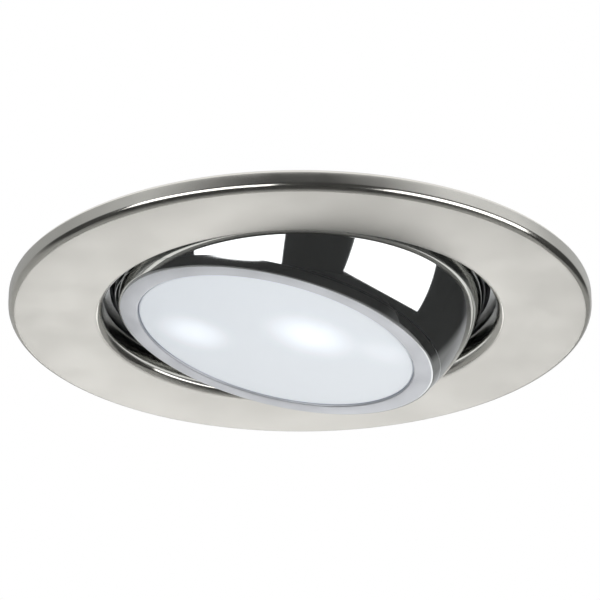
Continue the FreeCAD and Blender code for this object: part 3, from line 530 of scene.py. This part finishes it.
# %% Trim flange
sheet_t = 1.0
back_edge_round = 0.5
shoulder_round = 1.2
hole_round = 1.5
neck_bend_round = 1.0
lip_t = 0.7
lip_reach = 1.5
lip_round = 0.15
back_bend_round = 0.5
rim_bend_round = 0.3
rim_round = 0.1
neck_r = hole_r + sheet_t
back_z = face_z + sheet_t
trim_flange = on_lathe("trim_flange", [
    (flange_r, 0, back_edge_round), (flange_r, face_z, shoulder_round), (hole_r, face_z, hole_round),
    (hole_r, lip_top, neck_bend_round), (neck_r + lip_reach, lip_top, lip_round),
    (neck_r + lip_reach, lip_top - lip_t, lip_round), (neck_r, lip_top - lip_t),
    (neck_r, back_z, back_bend_round), (flange_r - sheet_t, back_z, rim_bend_round),
    (flange_r - sheet_t, 0, rim_round)], segments=256, rounding_steps=8)

# %% [markdown]
# ## Where the blasting ends
# The mask of the blasting leaves the rolled edges bright, so one sheet has two finishes. We give faces
# their finish by where they lie, which makes the border a true circle.

# %% Which part of the flange is blasted
def second_finish(piece, first, second, chosen):
    """Paints the piece with the first material and the faces picked by their middle with the second."""
    piece.data.materials.append(first)
    piece.data.materials.append(second)
    for face in piece.data.polygons:
        face.material_index = 1 if chosen(face.center) else 0


satin_from_r = hole_r + 0.55 * hole_round
satin_to_r = flange_r - 0.8 * shoulder_round
satin_below_z = face_z + 0.8 * sheet_t


def on_the_face(middle):
    """The blasted zone reaches a little on to the roll of the hole and on to the shoulder."""
    r = math.hypot(middle.x, middle.y) / MM
    return middle.z < satin_below_z * MM and satin_from_r < r < satin_to_r


second_finish(trim_flange, polished_nickel, satin_nickel, on_the_face)
settle(trim_flange, "housing", "satin_nickel_steel", "trim_bezel")

# %% [markdown]
# ## The ball
# Spun from aluminium, turned to a true sphere, copper and nickel plated and then chromed, which is why
# it shows the whole room. It is a shell, open in front for the ring and at the back for the heat sink.
# Two holes at its sides take the bushes of the tilt screws. We bore those holes like a drill does, with
# a cylinder taken away.

# %% Chromed ball
ball_outside_r = ball_r / MM
wall = 1.4
ball_inside_r = ball_outside_r - wall
back_edge = measure("eyeball_shell", upright=True)[3]
skirt_length = 2.8
skirt_wall = 1.2
skirt_play = 0.03
step_play = 0.15
seam = 0.04
ring_seat = ring_back - skirt_length
front_edge = ring_seat + seam
front_bore_r = skirt_inside_r + skirt_wall + skirt_play
front_step = ring_back + step_play


def angle_at(radius, height):
    """The angle at which a sphere of that radius reaches that height, in degrees."""
    return math.degrees(math.asin(height / radius))


# Chrome over turned and polished aluminium: a clear, slightly cool mirror, with wide and weak patches of
# roughness, as on bare plate that was wiped.
chrome, tree, shader = start_material("chrome_on_turned_aluminium", "C3C5C6", 1.0, 0.045)
patchy_roughness(tree, shader, 14.0, 0.035, 0.06)

outside_steps = 72
inside_steps = 48
outside = arc(0, 0, ball_outside_r, angle_at(ball_outside_r, front_edge),
              angle_at(ball_outside_r, back_edge), outside_steps)
inside = arc(0, 0, ball_inside_r, angle_at(ball_inside_r, back_edge),
             angle_at(ball_inside_r, front_step), inside_steps)
front_bore = [(front_bore_r, front_step), (front_bore_r, front_edge)]
ball = on_lathe("chromed_ball", outside + inside + front_bore, segments=256)
ball.data.materials.append(chrome)

# %% [markdown]
# ## Bores for the bushes
# The shell is held on both sides while one long drill goes through it. A cylinder along the tilt axis,
# taken away from the shell, does both bores in one stroke and keeps them in line.

# %% Bores for the bushes
bush_low, bush_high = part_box("pivot_bush_far")
bush_play = 0.03
bore_r = (bush_high[0] - bush_low[0]) / 2 + bush_play * MM
nothing_selected()
bpy.ops.mesh.primitive_cylinder_add(vertices=96, radius=bore_r, depth=2.2 * ball_r,
                                    rotation=(math.radians(90), 0, 0))
drill = bpy.context.object
nothing_selected()
bpy.context.view_layer.objects.active = ball
ball.select_set(True)
bore = ball.modifiers.new("bore", "BOOLEAN")
bore.operation = "DIFFERENCE"
bore.object = drill
bpy.ops.object.modifier_apply(modifier=bore.name)
bpy.data.objects.remove(drill)
bpy.ops.object.shade_smooth_by_angle(angle=smooth_angle)
print("bores of radius %.2f mm for the bushes" % (bore_r / MM))
tilt_into_place(ball)
settle(ball, "eyeball", "chrome", "eyeball_shell")

# %% [markdown]
# ## The front ring
# Turned from aluminium and anodised in a satin silver. It screws into the ball, so there is a hair-thin
# seam between the two, and its lip holds the glass. A fine feed mark of the lathe stays on its face.

# %% Satin ring
# Aluminium, turned and anodised in its own colour: a cool, even grey that shows light but no picture.
satin_silver, tree, shader = start_material("aluminium_turned_satin_anodised", "D8DADF", 1.0, 0.5)
patchy_roughness(tree, shader, 6.0, 0.46, 0.54)
fine_bumps(tree, shader, 0.3, 0.0006)

glass_lip = 1.2
glass_play = 0.06
ring_edge_round = 0.6
fine_round = 0.2
side_inset = 0.01
ring_bore_r = lens_rim_r - glass_lip + glass_play
ring_front_edge_r = math.sqrt(ball_outside_r ** 2 - ring_front ** 2)
skirt_outside_r = front_bore_r - skirt_play
ring_side = arc(0, 0, ball_outside_r - side_inset, angle_at(ball_outside_r, ring_front),
                angle_at(ball_outside_r, ring_seat), 4)
ring_face = [(ring_bore_r, ring_front, fine_round), (*ring_side[0], ring_edge_round)]
ring_skirt = [(skirt_outside_r, ring_seat), (skirt_outside_r, ring_back, fine_round),
              (skirt_inside_r, ring_back), (skirt_inside_r, ring_seat), (ring_bore_r, ring_seat)]
front_ring = on_lathe("front_ring_satin", ring_face + ring_side[1:] + ring_skirt, segments=224)


chromed_from_r = ring_front_edge_r - 0.25


def on_ring_side(middle):
    """The ring's side is polished and chromed with the ball, so the two look like one sphere."""
    return math.hypot(middle.x, middle.y) / MM > chromed_from_r


second_finish(front_ring, satin_silver, chrome, on_ring_side)
tilt_into_place(front_ring)
settle(front_ring, "eyeball", "satin_silver", "front_ring")
print("ring bore %.2f, front edge %.2f, seat %.2f" % (ring_bore_r, ring_front_edge_r, ring_seat))

# %% [markdown]
# ## The glass
# Pressed glass with an etched front, cool white. The light of the LEDs behind it is painted on as emission:
# soft bright spots on an even glow. Each spot is a place, a radius and a strength in the glass's own
# upright coordinates, in millimetres. Taking the pivot away and turning back by the tilt leads to them.

# %% Frosted glass with the LEDs' light painted on it
# Soda-lime glass, etched with acid: milky, with a broad dull gloss. The glow is painted emission, standing
# in for the LEDs' light that it scatters.
frosted, tree, shader = start_material("glass_etched_painted_glow", "EEF3FA", 0.0, 0.35, IOR=1.5)
place = add_node(tree, "ShaderNodeTexCoord")
from_pivot = add_node(tree, "ShaderNodeVectorMath", {0: place.outputs["Object"], 1: pivot},
                      operation="SUBTRACT")
upright = add_node(tree, "ShaderNodeVectorRotate", {"Vector": from_pivot.outputs[0], "Angle": -tilt},
                   rotation_type="Y_AXIS")
# Painted light: the spots and the even glow are emission on the glass, standing in for the LEDs shining
# through it.
painted_glow_spots = ((-13.0, 3.0, 8.0, 0.26), (5.5, -5.0, 9.5, 0.32), (17.0, -4.6, 6.5, 0.08))
even_painted_glow = 0.09
glow = None
for spot_x, spot_y, spot_r, spot_strength in painted_glow_spots:
    spot_middle = Vector((spot_x, spot_y, lens_front)) * MM
    offset = add_node(tree, "ShaderNodeVectorMath", {0: upright.outputs[0], 1: spot_middle},
                      operation="DISTANCE")
    spot = add_node(tree, "ShaderNodeMapRange",
                    {"Value": offset.outputs["Value"], "From Min": 0.0, "From Max": spot_r * MM,
                     "To Min": spot_strength, "To Max": 0.0}, interpolation_type="SMOOTHERSTEP")
    if glow is None:
        glow = spot.outputs["Result"]
    else:
        both = add_node(tree, "ShaderNodeMath", {0: glow, 1: spot.outputs["Result"]}, operation="ADD")
        glow = both.outputs[0]
painted_glow_total = add_node(tree, "ShaderNodeMath", {0: glow, 1: even_painted_glow}, operation="ADD")
shader.inputs["Emission Color"].default_value = linear("EAF2FF")
tree.links.new(painted_glow_total.outputs[0], shader.inputs["Emission Strength"])

# %% [markdown]
# ## The glass itself
# A gob of glass is pressed in a mould that gives it a stepped rim. The step lies behind the ring's lip,
# and the front stands a hair behind the ring's front. The edges are rounded, so nothing chips there.

# %% Pressed glass with a stepped rim
glass_rim_t = 1.4
glass_edge_round = 0.35
glass_corner_round = 0.1
glass_rim_round = 0.15
glass_back = measure("front_glass", upright=True)[3]
glass_step = glass_back - glass_rim_t
glass_face_r = ring_bore_r - glass_play
front_glass = on_lathe("front_glass_frosted", [
    (0, lens_front), (glass_face_r, lens_front, glass_edge_round),
    (glass_face_r, glass_step, glass_corner_round), (lens_rim_r, glass_step, glass_rim_round),
    (lens_rim_r, glass_back, glass_rim_round), (0, glass_back)])
front_glass.data.materials.append(frosted)
tilt_into_place(front_glass)
settle(front_glass, "eyeball", "frosted_glass", "front_glass")

# %% [markdown]
# ## CAD pieces that are carried over
# The pieces behind the soffit are machined, cast and punched just as the CAD draws them, so their
# meshes are kept. Each gets the finish of its real material.

# %% Finishes of the hidden pieces
def plain_finish(name, colour, metallic, roughness, bump_size_mm, bump_height_mm):
    """A finish with its own fine relief and soft patches of roughness."""
    patch_size_mm = 7.0
    patch_spread = 0.05
    material, tree, shader = start_material(name, colour, metallic, roughness)
    fine_bumps(tree, shader, bump_size_mm, bump_height_mm)
    patchy_roughness(tree, shader, patch_size_mm, roughness - patch_spread, roughness + patch_spread)
    return material


finishes = {
    # Die-cast and blasted to take off the flash: dull, with a fine grain.
    "cast_aluminium": plain_finish("aluminium_die_cast_blasted", "CACCCE", 1.0, 0.55, 0.5, 0.02),
    # Turned with a fine feed: a sheen that the grain breaks up.
    "swivel_satin": plain_finish("aluminium_turned_satin", "C4C6C9", 1.0, 0.35, 0.3, 0.003),
    # Closed-cell foam, punched from sheet: matt and pitted.
    "foam_gasket": plain_finish("foam_closed_cell_grey", "4A4B4C", 0.0, 0.85, 0.6, 0.08),
    # Moulded nylon: black, with the low gloss of its mould.
    "nylon": plain_finish("nylon_moulded_black", "1E1E20", 0.0, 0.45, 0.8, 0.01),
    # Drawn spring wire: bright, with fine marks of the die.
    "spring_steel": plain_finish("steel_wire_drawn_bright", "B8BABD", 1.0, 0.25, 0.2, 0.002),
    # Zinc plate over steel: a bluish, slightly clouded shine.
    "zinc_steel": plain_finish("steel_zinc_plated", "C2C6CB", 1.0, 0.3, 0.4, 0.004),
    # PVC that the wire was dipped in: soft gloss, with slow waves where it ran.
    "sleeve_plastic": plain_finish("pvc_sleeve_dipped", "E9E6DE", 0.0, 0.4, 1.2, 0.01),
    # Moulded silicone: pale, with a greasy half gloss.
    "silicone": plain_finish("silicone_moulded_translucent", "D9DADA", 0.0, 0.5, 1.0, 0.01),
    # Moulded polycarbonate filled with white: bright, with a smooth skin.
    "reflector_white": plain_finish("polycarbonate_moulded_white", "F0F0EE", 0.0, 0.35, 1.0, 0.005),
    # Phosphor cast over the chips: a yellow gel, nearly matt.
    "led_phosphor": plain_finish("phosphor_cast_yellow", "E8C94A", 0.0, 0.55, 0.3, 0.01),
    # Solder resist, printed and cured: white with a thin gloss.
    "board_white": plain_finish("solder_resist_white", "EDEDE8", 0.0, 0.4, 0.8, 0.004),
    # Filled silicone pad, calendered: grey and dusty.
    "thermal_pad": plain_finish("gap_pad_silicone_grey", "8D9299", 0.0, 0.8, 0.4, 0.02),
    # Machined and anodised: an even, soft grey.
    "heat_sink_aluminium": plain_finish("aluminium_machined_anodised", "C2C5C8", 1.0, 0.5, 0.3, 0.004),
    # Rolled sheet, anodised: lighter than the core, with a broad sheen.
    "fin_aluminium": plain_finish("aluminium_sheet_anodised", "D0D3D6", 1.0, 0.45, 0.4, 0.003),
    # Moulded EPDM rubber: black and matt.
    "black_rubber": plain_finish("epdm_rubber_moulded", "161617", 0.0, 0.7, 0.5, 0.02),
}
print("%d finishes" % len(finishes))

# %% Which piece has which finish
slot_of = {
    "collar": "cast_aluminium", "soffit_gasket": "foam_gasket", "glide_ring": "nylon",
    "retaining_ring": "spring_steel", "swivel_stop_pin": "zinc_steel", "spring_pin_left": "zinc_steel",
    "spring_pin_right": "zinc_steel", "swivel_ring": "swivel_satin", "pivot_screw_far": "zinc_steel",
    "pivot_screw_near": "zinc_steel", "wave_washer_far": "spring_steel", "wave_washer_near": "spring_steel",
    "pivot_bush_far": "nylon", "pivot_bush_near": "nylon", "glass_gasket": "silicone",
    "reflector": "reflector_white", "led_emitters": "led_phosphor", "led_board": "board_white",
    "led_board_screws": "zinc_steel", "thermal_pad": "thermal_pad", "heat_sink": "heat_sink_aluminium",
    "cooling_fins": "fin_aluminium", "heat_sink_screws": "zinc_steel", "rear_seal": "silicone",
    "cable_grommet": "black_rubber", "spring_right": "spring_steel", "spring_left": "spring_steel",
    "spring_sleeve_right": "sleeve_plastic", "spring_sleeve_left": "sleeve_plastic",
}
for node, slot in slot_of.items():
    piece = bpy.data.objects[node]
    piece.data.materials.clear()
    piece.data.materials.append(finishes[slot])
print("%d CAD pieces dressed" % len(slot_of))
